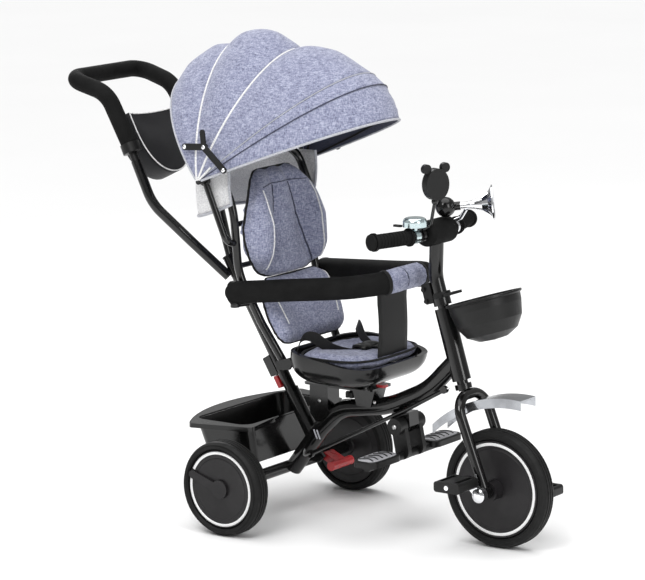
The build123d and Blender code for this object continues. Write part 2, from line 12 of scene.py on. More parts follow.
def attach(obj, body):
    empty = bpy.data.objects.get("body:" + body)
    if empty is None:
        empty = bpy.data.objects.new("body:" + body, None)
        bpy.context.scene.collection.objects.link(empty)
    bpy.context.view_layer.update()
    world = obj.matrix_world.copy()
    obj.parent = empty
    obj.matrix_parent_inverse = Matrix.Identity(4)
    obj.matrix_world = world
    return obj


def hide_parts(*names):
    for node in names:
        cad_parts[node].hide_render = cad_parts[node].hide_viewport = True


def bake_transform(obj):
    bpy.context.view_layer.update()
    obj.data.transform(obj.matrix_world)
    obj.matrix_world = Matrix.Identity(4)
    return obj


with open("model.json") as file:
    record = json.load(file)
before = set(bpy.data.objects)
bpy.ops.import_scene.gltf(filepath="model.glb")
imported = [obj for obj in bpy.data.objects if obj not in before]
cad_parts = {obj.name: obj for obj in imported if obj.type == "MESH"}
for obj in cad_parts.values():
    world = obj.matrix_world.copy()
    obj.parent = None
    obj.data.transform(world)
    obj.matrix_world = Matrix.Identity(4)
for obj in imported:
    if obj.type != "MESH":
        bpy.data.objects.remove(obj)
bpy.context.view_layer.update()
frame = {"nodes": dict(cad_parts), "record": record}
scene = bpy.context.scene
nodes = frame["nodes"]


# ---------------------------------------------------------------- materials


def node(tree, kind, inputs=None, **settings):
    """Adds a shader node with its inputs' values and its settings."""
    made = tree.nodes.new(kind)
    for name, value in settings.items():
        setattr(made, name, value)
    for name, value in (inputs or {}).items():
        made.inputs[name].default_value = value
    return made


def material(name, rough=0.5, metallic=0.0, coat=0.0, sheen=0.0, alpha=1.0, specular=0.5):
    """A new material, with its node tree and its shader."""
    made = bpy.data.materials.new(name)
    made.use_nodes = True
    shader = made.node_tree.nodes["Principled BSDF"]
    shader.inputs["Roughness"].default_value = rough
    shader.inputs["Metallic"].default_value = metallic
    shader.inputs["Coat Weight"].default_value = coat
    shader.inputs["Coat Roughness"].default_value = 0.12
    shader.inputs["Sheen Weight"].default_value = sheen
    shader.inputs["Sheen Roughness"].default_value = 0.5
    shader.inputs["Alpha"].default_value = alpha
    shader.inputs["Specular IOR Level"].default_value = specular
    return made, made.node_tree, shader


def object_noise(tree, scale, stretch=(1, 1, 1), detail=3.0, rough=0.6):
    """Noise fixed to the piece's own coordinates."""
    where = node(tree, "ShaderNodeTexCoord")
    mapped = node(tree, "ShaderNodeMapping", {"Scale": stretch})
    made = node(tree, "ShaderNodeTexNoise", {"Scale": scale, "Detail": detail, "Roughness": rough})
    tree.links.new(where.outputs["Object"], mapped.inputs["Vector"])
    tree.links.new(mapped.outputs["Vector"], made.inputs["Vector"])
    return made.outputs["Fac"]


def ramp(tree, source, stops):
    """Colours of a 0 to 1 value, from (position, colour) stops."""
    made = node(tree, "ShaderNodeValToRGB")
    elements = made.color_ramp.elements
    while len(elements) < len(stops):
        elements.new(0.5)
    for element, (at, colour) in zip(elements, stops):
        element.position = at
        element.color = (*colour, 1)
    tree.links.new(source, made.inputs["Fac"])
    return made.outputs["Color"]


def grey(value):
    return (value, value, value)


def bump(tree, shader, height, distance, strength=1.0):
    made = node(tree, "ShaderNodeBump", {"Distance": distance, "Strength": strength})
    tree.links.new(height, made.inputs["Height"])
    tree.links.new(made.outputs["Normal"], shader.inputs["Normal"])


def math_node(tree, operation, *values):
    made = node(tree, "ShaderNodeMath", operation=operation)
    for socket, value in zip(made.inputs, values):
        if isinstance(value, (int, float)):
            socket.default_value = value
        else:
            tree.links.new(value, socket)
    return made.outputs[0]


def weave_height(tree, pitch):
    """Over and under threads, a pitch apart, on any upright surface."""
    where = node(tree, "ShaderNodeTexCoord")
    split = node(tree, "ShaderNodeSeparateXYZ")
    tree.links.new(where.outputs["Object"], split.inputs[0])
    across = math_node(tree, "ADD", split.outputs["X"], split.outputs["Y"])
    k = 2 * pi / pitch
    first = math_node(tree, "SINE", math_node(tree, "MULTIPLY", across, k))
    second = math_node(tree, "SINE", math_node(tree, "MULTIPLY", split.outputs["Z"], k))
    return math_node(tree, "MULTIPLY", first, second)


def hard(name, colour, rough, metallic=0.0, coat=0.0, grain=900.0, depth=0.00004, vary=0.25,
         specular=0.5):
    """Painted, moulded or plated surface: faint colour and gloss variation over a fine grain."""
    made, tree, shader = material(name, rough, metallic, coat, specular=specular)
    low = tuple(c * (1 - vary) for c in colour)
    high = tuple(min(1.0, c * (1 + vary)) for c in colour)
    soft = object_noise(tree, 9.0, detail=4.0)
    tree.links.new(ramp(tree, soft, [(0.35, low), (0.65, high)]), shader.inputs["Base Color"])
    gloss = object_noise(tree, 55.0, detail=5.0)
    spread = ramp(tree, gloss, [(0.3, grey(max(0.02, rough * 0.8))), (0.7, grey(min(1.0, rough * 1.2)))])
    tree.links.new(spread, shader.inputs["Roughness"])
    bump(tree, shader, object_noise(tree, grain, detail=2.0), depth)
    return made


def foam(name, colour, pore, depth):
    """Closed-cell foam or rubber: small pits and a dull, slightly dusty face."""
    made, tree, shader = material(name, 0.78, specular=0.1)
    where = node(tree, "ShaderNodeTexCoord")
    cells = node(tree, "ShaderNodeTexVoronoi", {"Scale": pore})
    tree.links.new(where.outputs["Object"], cells.inputs["Vector"])
    dust = object_noise(tree, 30.0, detail=5.0)
    light = tuple(c * 1.7 for c in colour)
    tree.links.new(ramp(tree, dust, [(0.35, colour), (0.75, light)]), shader.inputs["Base Color"])
    bump(tree, shader, cells.outputs["Distance"], depth, 0.8)
    return made


def melange(name, dark, middle, light, fleck=430.0, sheen=0.25):
    """Melange linen: light and dark yarns crossing at right angles, over an even weave."""
    made, tree, shader = material(name, 0.85, sheen=sheen, specular=0.25)
    warp = object_noise(tree, fleck, (0.28, 0.28, 1.0), 2.0, 0.7)
    weft = object_noise(tree, fleck, (1.0, 1.0, 0.28), 2.0, 0.7)
    cloud = object_noise(tree, 60.0, detail=4.0)
    mixed = math_node(tree, "MULTIPLY", math_node(tree, "ADD", warp, weft), 0.42)
    mixed = math_node(tree, "ADD", mixed, math_node(tree, "MULTIPLY", cloud, 0.16))
    stops = [(0.38, dark), (0.49, middle), (0.62, light)]
    tree.links.new(ramp(tree, mixed, stops), shader.inputs["Base Color"])
    height = math_node(tree, "ADD", weave_height(tree, 0.0016), math_node(tree, "MULTIPLY", mixed, 2.0))
    bump(tree, shader, height, 0.00022, 0.7)
    return made


def cloth(name, colour, pitch=0.0011, rough=0.8, sheen=0.2, alpha=1.0):
    """Plain woven tape or lining in one colour, with a visible thread."""
    made, tree, shader = material(name, rough, sheen=sheen, alpha=alpha, specular=0.3)
    threads = object_noise(tree, 500.0, detail=2.0)
    low, high = tuple(c * 0.75 for c in colour), tuple(min(1.0, c * 1.25) for c in colour)
    tree.links.new(ramp(tree, threads, [(0.35, low), (0.65, high)]), shader.inputs["Base Color"])
    bump(tree, shader, weave_height(tree, pitch), 0.00016, 0.8)
    return made


def ribbed_rubber(name, colour):
    """Wheel rubber with a soft mould grain and patches of dust."""
    made, tree, shader = material(name, 0.55, specular=0.16)
    dust = object_noise(tree, 22.0, detail=6.0)
    light = tuple(c * 1.6 for c in colour)
    tree.links.new(ramp(tree, dust, [(0.4, colour), (0.72, light)]), shader.inputs["Base Color"])
    spread = ramp(tree, object_noise(tree, 70.0), [(0.3, grey(0.44)), (0.7, grey(0.66))])
    tree.links.new(spread, shader.inputs["Roughness"])
    bump(tree, shader, object_noise(tree, 1400.0, detail=2.0), 0.00006)
    return made


PAINT = hard("paint_black", grey(0.004), 0.17, coat=0.35, grain=500.0, depth=0.00002, specular=0.35)
GLOSS = hard("moulded_gloss_black", grey(0.004), 0.2, coat=0.25, grain=260.0, depth=0.00003, specular=0.3)
PLASTIC = hard("moulded_black", grey(0.007), 0.4, grain=1300.0, depth=0.00007, specular=0.3)
COVER = hard("wheel_cover_black", (0.012, 0.011, 0.012), 0.42, grain=1500.0, depth=0.00006, specular=0.3)
CHROME = hard("chrome", (0.82, 0.83, 0.85), 0.09, metallic=1.0, grain=200.0, depth=0.00001, vary=0.04)
BELL = hard("bell_chrome", (0.66, 0.78, 0.80), 0.16, metallic=0.9, grain=200.0, depth=0.00001, vary=0.05)
STEEL = hard("zinc_steel", grey(0.55), 0.3, metallic=1.0, grain=700.0, depth=0.00003, vary=0.1)
RED = hard("red_plastic", (0.42, 0.012, 0.016), 0.32, coat=0.2, grain=900.0)
FENDER = hard("fender_silver", (0.36, 0.37, 0.39), 0.16, metallic=0.95, grain=60.0, depth=0.0006, vary=0.3)
WHITE = hard("white_line", grey(0.85), 0.45, grain=900.0, vary=0.03)
GREY_TOP = hard("plate_grey", (0.34, 0.34, 0.36), 0.42, grain=700.0, depth=0.0001, vary=0.15)
FOAM = foam("foam_black", grey(0.006), 900.0, 0.00025)
GRIP = foam("grip_rubber", grey(0.007), 1500.0, 0.00012)
TYRE = ribbed_rubber("wheel_rubber", grey(0.009))
FABRIC = melange("linen_grey_blue", (0.115, 0.125, 0.20), (0.25, 0.265, 0.38), (0.45, 0.47, 0.59))
LINING = cloth("lining_navy", (0.045, 0.05, 0.085))
BINDING = cloth("binding_black", grey(0.008), sheen=0.05)
WEBBING = cloth("webbing_black", grey(0.008), 0.0022, 0.6, 0.05)
POUCH = cloth("pouch_black", (0.006, 0.006, 0.008), 0.0012, 0.62, 0.05)
PIPING = cloth("piping_white", grey(0.82), 0.0012, 0.5)
HEM = cloth("hem_grey", (0.45, 0.46, 0.5), 0.0012, 0.6)
SHEER = cloth("flap_sheer", (0.80, 0.80, 0.82), 0.0015, 0.55, 0.1, 0.82)

LOOKS = {
    "black_paint": PAINT, "black_plastic": PLASTIC, "gloss_black": GLOSS, "foam": FOAM,
    "tyre": TYRE, "chrome": CHROME, "cloth": FABRIC, "pouch_cloth": POUCH, "webbing": WEBBING,
    "red_plastic": RED, "fender_plastic": FENDER, "wheel_cover": COVER,
}
OWN_LOOKS = {
    "handlebar_grips": GRIP, "horn_bulb": GLOSS, "bell": BELL, "rear_axle_rod": STEEL, "seat_pan": GLOSS,
    "handle_legs": PLASTIC, "horn": CHROME,
}
for part in frame["record"]["subparts"]:
    dressed = nodes[part["node"]]
    look = OWN_LOOKS.get(part["node"], LOOKS[part["material_slot"]])
    dressed.data.materials.clear()
    dressed.data.materials.append(look)


# ---------------------------------------------------------------- making pieces

SIDES = ((-1, "right"), (1, "left"))


def fasten(obj, body):
    """Lets a piece ride on a body."""
    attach(obj, body)


def signed_power(value, power):
    """A power that keeps its value's sign, for squared-off rings and arches."""
    return abs(value) ** power * (1 if value > 0 else -1)


def joined(rows):
    """All points of a grid, row after row."""
    return [p for row in rows for p in row]


def sine_spread(half, steps):
    """Values from -half to half, closer together at both ends."""
    return [half * sin((i / steps - 0.5) * pi) for i in range(steps + 1)]


def mesh_piece(name, points, faces, look, smooth=True):
    mesh = bpy.data.meshes.new(name)
    mesh.from_pydata([tuple(p) for p in points], [], faces)
    mesh.materials.append(look)
    mesh.polygons.foreach_set("use_smooth", [smooth] * len(mesh.polygons))
    mesh.update()
    made = bpy.data.objects.new(name, mesh)
    scene.collection.objects.link(made)
    return made


def settle(obj):
    """Applies every modifier that the piece has."""
    bpy.context.view_layer.update()
    graph = bpy.context.evaluated_depsgraph_get()
    final = bpy.data.meshes.new_from_object(obj.evaluated_get(graph))
    obj.modifiers.clear()
    old, obj.data = obj.data, final
    bpy.data.meshes.remove(old)
    return obj


def grid_faces(rows, columns, wrap=False):
    """Four-sided faces between the points of a grid, closed round its columns if wrapped."""
    faces = []
    for r in range(rows - 1):
        for c in range(columns if wrap else columns - 1):
            d = (c + 1) % columns
            below, above = r * columns, (r + 1) * columns
            faces.append((below + c, below + d, above + d, above + c))
    return faces


def sheet_piece(name, rows, look, back, thick=0.0018, flip=False):
    """A thin sheet over a grid of points, with its lining on the other side."""
    made = mesh_piece(name, joined(rows), grid_faces(len(rows), len(rows[0])), look)
    made.data.materials.append(back)
    if flip:
        made.data.flip_normals()
    thicken = made.modifiers.new("thick", "SOLIDIFY")
    thicken.thickness = thick
    thicken.offset = -1
    thicken.material_offset = 1
    return settle(made)


def round_line(points, steps=10):
    """Points of a smooth line through the given ones."""
    pts = [Vector(p) for p in points]
    pts = [pts[0] * 2 - pts[1]] + pts + [pts[-1] * 2 - pts[-2]]
    line = []
    for a, b, c, d in zip(pts, pts[1:], pts[2:], pts[3:]):
        for i in range(steps):
            t = i / steps
            line.append(0.5 * ((2 * b) + (c - a) * t + (2 * a - 5 * b + 4 * c - d) * t * t
                               + (3 * b - a - 3 * c + d) * t ** 3))
    return line + [pts[-2]]


def line_piece(name, points, radius, look, closed=False):
    """A cord-thin round trim along points: piping, a seam or a tube."""
    curve = bpy.data.curves.new(name, "CURVE")
    curve.dimensions = "3D"
    curve.bevel_depth = radius
    curve.bevel_resolution = 4
    curve.use_fill_caps = not closed
    spline = curve.splines.new("POLY")
    spline.points.add(len(points) - 1)
    for point, at in zip(spline.points, points):
        point.co = (*at, 1)
    spline.use_cyclic_u = closed
    shape = bpy.data.objects.new(name, curve)
    scene.collection.objects.link(shape)
    bpy.context.view_layer.update()
    mesh = bpy.data.meshes.new_from_object(shape.evaluated_get(bpy.context.evaluated_depsgraph_get()))
    bpy.data.objects.remove(shape)
    mesh.materials.clear()
    mesh.materials.append(look)
    mesh.polygons.foreach_set("use_smooth", [True] * len(mesh.polygons))
    made = bpy.data.objects.new(name, mesh)
    scene.collection.objects.link(made)
    return made


def spin_piece(name, profile, centre, axis, look, count=64):
    """A turned piece from (radius, height along axis) points."""
    turn = Vector((0, 0, 1)).rotation_difference(Vector(axis).normalized()).to_matrix()
    points = []
    for radius, height in profile:
        for i in range(count):
            a = 2 * pi * i / count
            points.append(Vector(centre) + turn @ Vector((radius * cos(a), radius * sin(a), height)))
    return mesh_piece(name, points, grid_faces(len(profile), count, True), look)


def strap_piece(name, points, across, wide, look, thick=0.0018):
    """Flat webbing along a line, its width along one direction at each point."""
    line = round_line(points, 8)
    rows = []
    for i, at in enumerate(line):
        side = across[0].lerp(across[1], i / (len(line) - 1)).normalized() * wide / 2
        rows.append([at - side, at - side * 0.96, at, at + side * 0.96, at + side])
    return sheet_piece(name, rows, look, look, thick)


def puff(obj, voxel=0.0055, pressure=4.0, cap=0.006):
    """Swells a closed pad as stuffing does, holding every point within cap of where it began."""
    frames = 20
    mesher = obj.modifiers.new("even", "REMESH")
    mesher.mode = "VOXEL"
    mesher.voxel_size = voxel
    look = obj.data.materials[0]
    settle(obj)
    start = np.array([v.co for v in obj.data.vertices])
    swell = obj.modifiers.new("swell", "CLOTH")
    swell.settings.quality = 5
    swell.settings.use_pressure = True
    swell.settings.uniform_pressure_force = pressure
    swell.settings.effector_weights.gravity = 0
    swell.settings.tension_stiffness = 12
    swell.point_cache.frame_start = 1
    swell.point_cache.frame_end = frames
    for step in range(1, frames + 1):
        scene.frame_set(step)
    settle(obj)
    end = np.array([v.co for v in obj.data.vertices])
    move = end - start
    size = np.linalg.norm(move, axis=1)
    keep = np.minimum(1, cap / np.maximum(size, 1e-9))
    final = start + move * keep[:, None]
    obj.data.vertices.foreach_set("co", final.ravel())
    obj.data.update()
    scene.frame_set(1)
    obj.data.materials.clear()
    obj.data.materials.append(look)
    obj.data.polygons.foreach_set("use_smooth", [True] * len(obj.data.polygons))
    smoother = obj.modifiers.new("fine", "SUBSURF")
    smoother.levels = smoother.render_levels = 1
    return settle(obj)


def surface_of(obj):
    """A piece's surface, for finding where a ray meets it."""
    mesh = obj.data
    corners = [v.co for v in mesh.vertices]
    return BVHTree.FromPolygons(corners, [tuple(p.vertices) for p in mesh.polygons])


def onto(tree, points, direction, lift):
    """Drops points onto a surface along a direction, a little proud of it."""
    found = []
    for p in points:
        hit = tree.ray_cast(Vector(p), Vector(direction))[0]
        if hit is not None:
            found.append(hit - Vector(direction) * lift)
    return found


# ---------------------------------------------------------------- canopy

PIVOT = Vector((-0.161, 0, 0.744))
HALF = 0.1915
# Each rib's angle in degrees, its radius, and the power of its arch
RIBS = [(128.0, 0.256, 2.0), (99.0, 0.275, 1.6), (66.0, 0.291, 1.85), (32.0, 0.380, 2.2),
        (20.0, 0.379, 2.18)]
# How far each panel stands proud of its ribs, and how far back its crest lies
BULGE = [(0.013, 1.0), (0.026, 0.85), (0.0105, 0.6), (0.0, 1.0)]
REAR_PANEL, MIDDLE_PANEL, FRONT_PANEL, VISOR_PANEL = range(4)
# Where the front panel ends and its band begins
STITCH = 0.84


def canopy_point(panel, t, turn, lift=0.0, wrinkle=True):
    """A point of a cloth panel: t runs from its rear rib to its front one, turn from foot to foot."""
    (a0, r0, p0), (a1, r1, p1) = RIBS[panel], RIBS[panel + 1]
    bulge, skew = BULGE[panel]
    swell = sin(pi * t ** skew)
    power = p0 + (p1 - p0) * t
    radius = r0 + (r1 - r0) * t + bulge * swell
    angle = radians(a0 + (a1 - a0) * t)
    away = abs(sin(turn)) ** (2 / power)
    if wrinkle:
        fold = noise.noise(Vector((panel * 7 + t * 3.2, turn * 2.1, 1.7)))
        fine = noise.noise(Vector((panel * 5 + t * 9.0, turn * 4.0, 8.1)))
        radius += (0.006 * fold + 0.0022 * fine) * swell
    y = -HALF * signed_power(cos(turn), 2 / power)
    reach = radius * away
    at = Vector((PIVOT.x + reach * cos(angle), y, PIVOT.z + reach * sin(angle)))
    if lift:
        out = Vector((cos(angle) * away, y / HALF * (1 - away ** 3), sin(angle) * away))
        at += out.normalized() * lift
    return at


def turns(count=73):
    """Even steps from foot to foot, closer together at the feet."""
    steps = np.linspace(-1, 1, count)
    return [pi / 2 + 0.5 * pi * 0.985 * (0.55 * u + 0.45 * u ** 3) for u in steps]


def panel_rows(panel, start=0.0, end=1.0, count=22):
    """A grid over a panel, from one share of its depth to another."""
    return [[canopy_point(panel, start + (end - start) * i / (count - 1), a) for a in turns()]
            for i in range(count)]


def canopy_sheet(name, rows, body_a, body_b=None, start=None, end=None):
    """A canopy cloth that rides on one body, or, when a second body is given, on none."""
    made = sheet_piece(name, rows, FABRIC, LINING, flip=True)
    if body_b:
        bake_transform(made)
    else:
        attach(made, body_a)
    return made


def middle(panel, t):
    """A point on the canopy's middle line."""
    return canopy_point(panel, t, pi / 2, wrinkle=False)


rear = canopy_sheet("canopy_panel_rear", panel_rows(REAR_PANEL), "backrest", "canopy_2",
                    middle(REAR_PANEL, 0.05), middle(REAR_PANEL, 0.98))
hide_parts("canopy_cloth_rear")
centre = canopy_sheet("canopy_panel_middle", panel_rows(MIDDLE_PANEL), "canopy_2", "canopy_3",
                      middle(MIDDLE_PANEL, 0.02), middle(MIDDLE_PANEL, 0.98))
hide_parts("canopy_cloth_middle")
front = canopy_sheet("canopy_panel_front", panel_rows(FRONT_PANEL, 0, STITCH), "canopy_3",
                     "canopy_front", middle(FRONT_PANEL, 0.02), middle(FRONT_PANEL, STITCH * 0.98))
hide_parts("canopy_cloth_front")
canopy_sheet("canopy_band", panel_rows(FRONT_PANEL, STITCH, 1.0, 8), "canopy_front")
canopy_sheet("canopy_visor", panel_rows(VISOR_PANEL, 0, 1, 12), "canopy_front")


def rib_line(panel, t, lift):
    """A line from foot to foot, a little above the cloth."""
    return [canopy_point(panel, t, a, lift, wrinkle=False) for a in turns(97)]


for name, panel, t, radius, look, body in (
    ("canopy_piping_rear", REAR_PANEL, 1.0, 0.0024, PIPING, "canopy_2"),
    ("canopy_piping_middle", MIDDLE_PANEL, 1.0, 0.0024, PIPING, "canopy_3"),
    ("canopy_rim_rear", REAR_PANEL, 0.0, 0.0020, HEM, "backrest"),
    ("canopy_stitch_line", FRONT_PANEL, STITCH, 0.0010, HEM, "canopy_front"),
    ("canopy_seam_front", FRONT_PANEL, 1.0, 0.0012, LINING, "canopy_front"),
    ("canopy_rim_front", VISOR_PANEL, 1.0, 0.0026, HEM, "canopy_front"),
):
    fasten(line_piece(name, rib_line(panel, t, 0.0008), radius, look), body)

# White tabs at the canopy's feet
TAB_ANGLE = radians(42)
for side, name in SIDES:
    ends = [PIVOT + Vector((reach * cos(TAB_ANGLE), side * (HALF + 0.0012), reach * sin(TAB_ANGLE)))
            for reach in (0.008, 0.05)]
    fasten(line_piece(f"canopy_tab_piping_{name}", ends, 0.0022, PIPING), "backrest")

# Sheer flap hung round the back, from the near side of the frame to the far one
FLAP_STEPS = 8
plan = [(-0.106, -0.151), (-0.150, -0.154), (-0.196, -0.146), (-0.219, -0.105), (-0.226, -0.045),
        (-0.227, 0.0)]
plan = plan + [(x, -y) for x, y in reversed(plan[:-1])]
top_line = round_line([(x, y, 0.772 + 0.02 * (1 - abs(y) / 0.155)) for x, y in plan], 6)
low_heights = [0.694, 0.676, 0.662, 0.660, 0.662, 0.664]
low_heights = low_heights + list(reversed(low_heights[:-1]))
low_line = round_line([(x * 1.01 + 0.001, y * 0.985, z) for (x, y), z in zip(plan, low_heights)], 6)
flap_rows = []
for i in range(FLAP_STEPS + 1):
    t = i / FLAP_STEPS
    row = []
    for a, b in zip(top_line, low_line):
        sag = 0.004 * sin(pi * t) + 0.0025 * t * noise.noise(Vector((a.x * 30, a.y * 30, 3.0)))
        out = Vector((a.x + 0.1, a.y * 0.8, 0)).normalized()
        row.append(a.lerp(b, t) + out * sag)
    flap_rows.append(row)
flap = sheet_piece("canopy_flap", flap_rows, SHEER, SHEER, 0.0008)
fasten(flap, "backrest")
hem_line = ([flap_rows[0][0]] + [row[0] for row in flap_rows] + flap_rows[-1]
            + [row[-1] for row in reversed(flap_rows)])
fasten(line_piece("canopy_flap_hem", hem_line, 0.0032, HEM), "backrest")

# Chrome rivets of the stays: along, up, across, and the body each one rides on
RIVET_DOME = [(0.0, 0.0030), (0.0022, 0.0027), (0.0040, 0.0017), (0.0050, 0.0), (0.0050, -0.0012)]
RIVETS = [
    (-0.187, 0.818, 0.1995, "stay_rear"),
    (-0.133, 0.821, 0.2035, "stay_front"),
    (-0.082, 0.776, 0.2035, "stay_front"),
]
for side, name in SIDES:
    for number, (x, z, y, body) in enumerate(RIVETS):
        rivet = spin_piece(f"stay_rivet_{name}_{number}", RIVET_DOME, (x, side * y, z), (0, side, 0),
                           CHROME, 24)
        fasten(rivet, body)


# ---------------------------------------------------------------- pads


def tilted(angle):
    """Forward and upward directions of a pad that leans back by an angle in degrees."""
    a = radians(angle)
    return Vector((cos(a), 0, sin(a))), Vector((-sin(a), 0, cos(a)))


def closed_pad(name, centre, lean, heights, half_width, front, back, columns=41):
    """A stuffed pad: front and back skins over an outline, drawn in at its edge."""
    ahead, up = tilted(lean)
    rows_front, rows_back = [], []
    for h in heights:
        w = half_width(h)
        line_front, line_back = [], []
        for i in range(columns):
            u = sin((i / (columns - 1) - 0.5) * pi)
            base = Vector(centre) + up * h + Vector((0, u * w, 0))
            line_front.append(base + ahead * front(u * w, h, u))
            line_back.append(base + ahead * back(u * w, h, u))
        rows_front.append(line_front)
        rows_back.append(line_back)
    n = len(heights)
    points = joined(rows_front) + joined(rows_back)
    faces = grid_faces(n, columns)
    shift = n * columns
    faces += [tuple(shift + i for i in reversed(f)) for f in grid_faces(n, columns)]
    for r in range(n - 1):
        a, b = r * columns, (r + 1) * columns
        faces.append((a, b, shift + b, shift + a))
        last = columns - 1
        faces.append((a + last, shift + a + last, shift + b + last, b + last))
    top = (n - 1) * columns
    for c in range(columns - 1):
        faces.append((c, shift + c, shift + c + 1, c + 1))
        faces.append((top + c, top + c + 1, shift + top + c + 1, shift + top + c))
    made = mesh_piece(name, points, faces, FABRIC)
    made.data.update()
    bpy.context.view_layer.objects.active = made
    bpy.ops.object.select_all(action="DESELECT")
    made.select_set(True)
    bpy.ops.object.mode_set(mode="EDIT")
    bpy.ops.mesh.select_all(action="SELECT")
    bpy.ops.mesh.remove_doubles(threshold=0.0002)
    bpy.ops.mesh.normals_make_consistent(inside=False)
    bpy.ops.object.mode_set(mode="OBJECT")
    return made


def table(keys, values):
    """A function that reads between the values of a table."""
    return lambda h: float(np.interp(h, keys, values))


PAD_VOXEL, PAD_PRESSURE = 0.005, 3.0
TOP_AT, TOP_LEAN, TOP_HALF = (-0.084, 0, 0.644), 6.0, 0.12
top_width = table([-0.120, -0.114, -0.098, -0.07, -0.03, 0.0, 0.034, 0.08, 0.105, 0.117, 0.120],
                  [0.064, 0.088, 0.108, 0.126, 0.136, 0.135, 0.122, 0.098, 0.080, 0.064, 0.050])
fold_at = table([-0.114, -0.078, -0.032, 0.023, 0.066, 0.12], [0.092, 0.072, 0.052, 0.038, 0.029, 0.020])
crest_at = table([-0.114, -0.078, -0.032, 0.023, 0.066, 0.12],
                 [0.092, 0.093, 0.084, 0.084, 0.084, 0.05])
crest_high = table([-0.12, -0.10, -0.06, 0.0, 0.05, 0.09, 0.12],
                   [0.003, 0.016, 0.031, 0.034, 0.022, 0.008, 0.0])


def top_recline(h):
    """How far the upper pad curls back above its middle."""
    return 0.6 * max(0.0, h - 0.05) ** 1.5


def top_front(y, h, u):
    """Front of the upper pad: a hollow in the middle between two stuffed wings."""
    fold, crest, high = fold_at(h), crest_at(h), crest_high(h)
    if abs(y) < fold:
        depth = 0.010 - 0.013 * (abs(y) / fold) ** 3
    elif abs(y) < crest:
        t = (abs(y) - fold) / max(crest - fold, 1e-4)
        depth = -0.003 + (0.010 + high) * t ** 0.7
    else:
        t = (abs(y) - crest) / max(top_width(h) - crest, 1e-4)
        depth = 0.007 + high * (1 - t ** 2.2) - 0.006 * t ** 3
    rim = (1 - abs(u) ** 14) * (1 - (abs(h) / 0.121) ** 16)
    return -0.012 + (depth + 0.012) * rim - top_recline(h)


def top_back(y, h, u):
    return -0.0125 - top_recline(h)


top_pad = closed_pad("back_pad_top", TOP_AT, TOP_LEAN, sine_spread(TOP_HALF, 46), top_width,
                     top_front, top_back, 61)
puff(top_pad, PAD_VOXEL, PAD_PRESSURE, 0.004)

LOW_AT, LOW_LEAN, LOW_HALF = (-0.034, 0, 0.464), 24.0, 0.078
low_width = table([-0.078, -0.072, -0.055, -0.02, 0.0, 0.03, 0.055, 0.070, 0.078],
                  [0.088, 0.104, 0.120, 0.127, 0.127, 0.124, 0.114, 0.100, 0.088])


def low_front(y, h, u):
    """Front of the lower pad: nearly flat, with its sides curling forward."""
    rim = (1 - abs(u) ** 10) * (1 - (abs(h) / (LOW_HALF + 0.0005)) ** 10)
    wing = 0.010 * max(0.0, (abs(y) - 0.06) / 0.06) ** 1.5
    return -0.010 + (0.019 + wing) * rim


def low_back(y, h, u):
    return -0.0115


low_pad = closed_pad("back_pad_low", LOW_AT, LOW_LEAN, sine_spread(LOW_HALF, 30), low_width,
                     low_front, low_back, 51)
puff(low_pad, PAD_VOXEL, PAD_PRESSURE, 0.004)

for piece, cad in ((top_pad, "back_cushion_top"), (low_pad, "back_cushion_low")):
    fasten(piece, "backrest")
    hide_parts(cad)


def pad_trim(name, pad, centre, lean, path, radius, look, lift=0.0004):
    """Trim sewn to a back pad's front, from (across, up) points."""
    ahead, up = tilted(lean)
    line = round_line([(y, h, 0) for y, h in path], 8)
    starts = [Vector(centre) + up * p.y + Vector((0, p.x, 0)) + ahead * 0.12 for p in line]
    points = onto(surface_of(pad), starts, -ahead, lift)
    fasten(line_piece(name, points, radius, look), "backrest")


for side, name in SIDES:
    crest = [(side * crest_at(h) * 1.02, h)
             for h in (0.072, 0.045, 0.015, -0.02, -0.05, -0.08, -0.095)]
    pad_trim(f"back_piping_{name}", top_pad, TOP_AT, TOP_LEAN, crest, 0.0016, PIPING)
    # Dark lining-coloured cord sunk along each fold: partly a real seam, and made wide so that its dark
    # colour also stands in for the fold's shade (painted shade).
    fold = [(side * fold_at(h), h) for h in (0.078, 0.05, 0.02, -0.02, -0.06, -0.1)]
    pad_trim(f"back_fold_seam_and_shade_{name}", top_pad, TOP_AT, TOP_LEAN, fold, 0.0022, LINING, -0.001)
    pad_trim(f"low_back_piping_{name}", low_pad, LOW_AT, LOW_LEAN,
             [(side * 0.100, 0.060), (side * 0.098, 0.02), (side * 0.088, -0.035)], 0.0016, PIPING)
pad_trim("back_top_seam", top_pad, TOP_AT, TOP_LEAN,
         [(-0.078, 0.078), (-0.04, 0.081), (0, 0.082), (0.04, 0.081), (0.078, 0.078)], 0.0010, LINING)


def rim_binding(name, pad, centre, lean, heights, half_width, depth, radius):
    """Black tape round a back pad's edge, found by looking in from outside."""
    ahead, up = tilted(lean)
    skin = surface_of(pad)
    one_side = [Vector(centre) + up * h + Vector((0, half_width(h), 0)) + ahead * depth(h)
                for h in heights]
    other_side = [Vector((p.x, -p.y, p.z)) for p in reversed(one_side)]
    core = Vector(centre) + ahead * depth(0)
    line = []
    for p in one_side + other_side:
        out = (p - core).normalized()
        hit = skin.ray_cast(p + out * 0.04, -out)[0]
        line.append(hit - out * 0.001 if hit is not None else p)
    fasten(line_piece(name, line, radius, BINDING, closed=True), "backrest")


rim_binding("back_binding_top", top_pad, TOP_AT, TOP_LEAN, sine_spread(0.1195, 40), top_width,
            lambda h: -0.007 - top_recline(h), 0.0032)
rim_binding("back_binding_low", low_pad, LOW_AT, LOW_LEAN, sine_spread(LOW_HALF, 30), low_width,
            lambda h: -0.006, 0.0030)

# Seat pad inside the pan
SEAT = Vector((0.113, 0, 0.372))
SEAT_POWER, SEAT_STEPS = 2 / 3.2, 72


def seat_ring_point(angle, half_length, half_width, height, share=1.0):
    """A point of the seat's squared-off outline, drawn in by a share."""
    x = signed_power(cos(angle), SEAT_POWER) * half_length
    y = signed_power(sin(angle), SEAT_POWER) * half_width
    return SEAT + Vector((x * share, y * share, height))


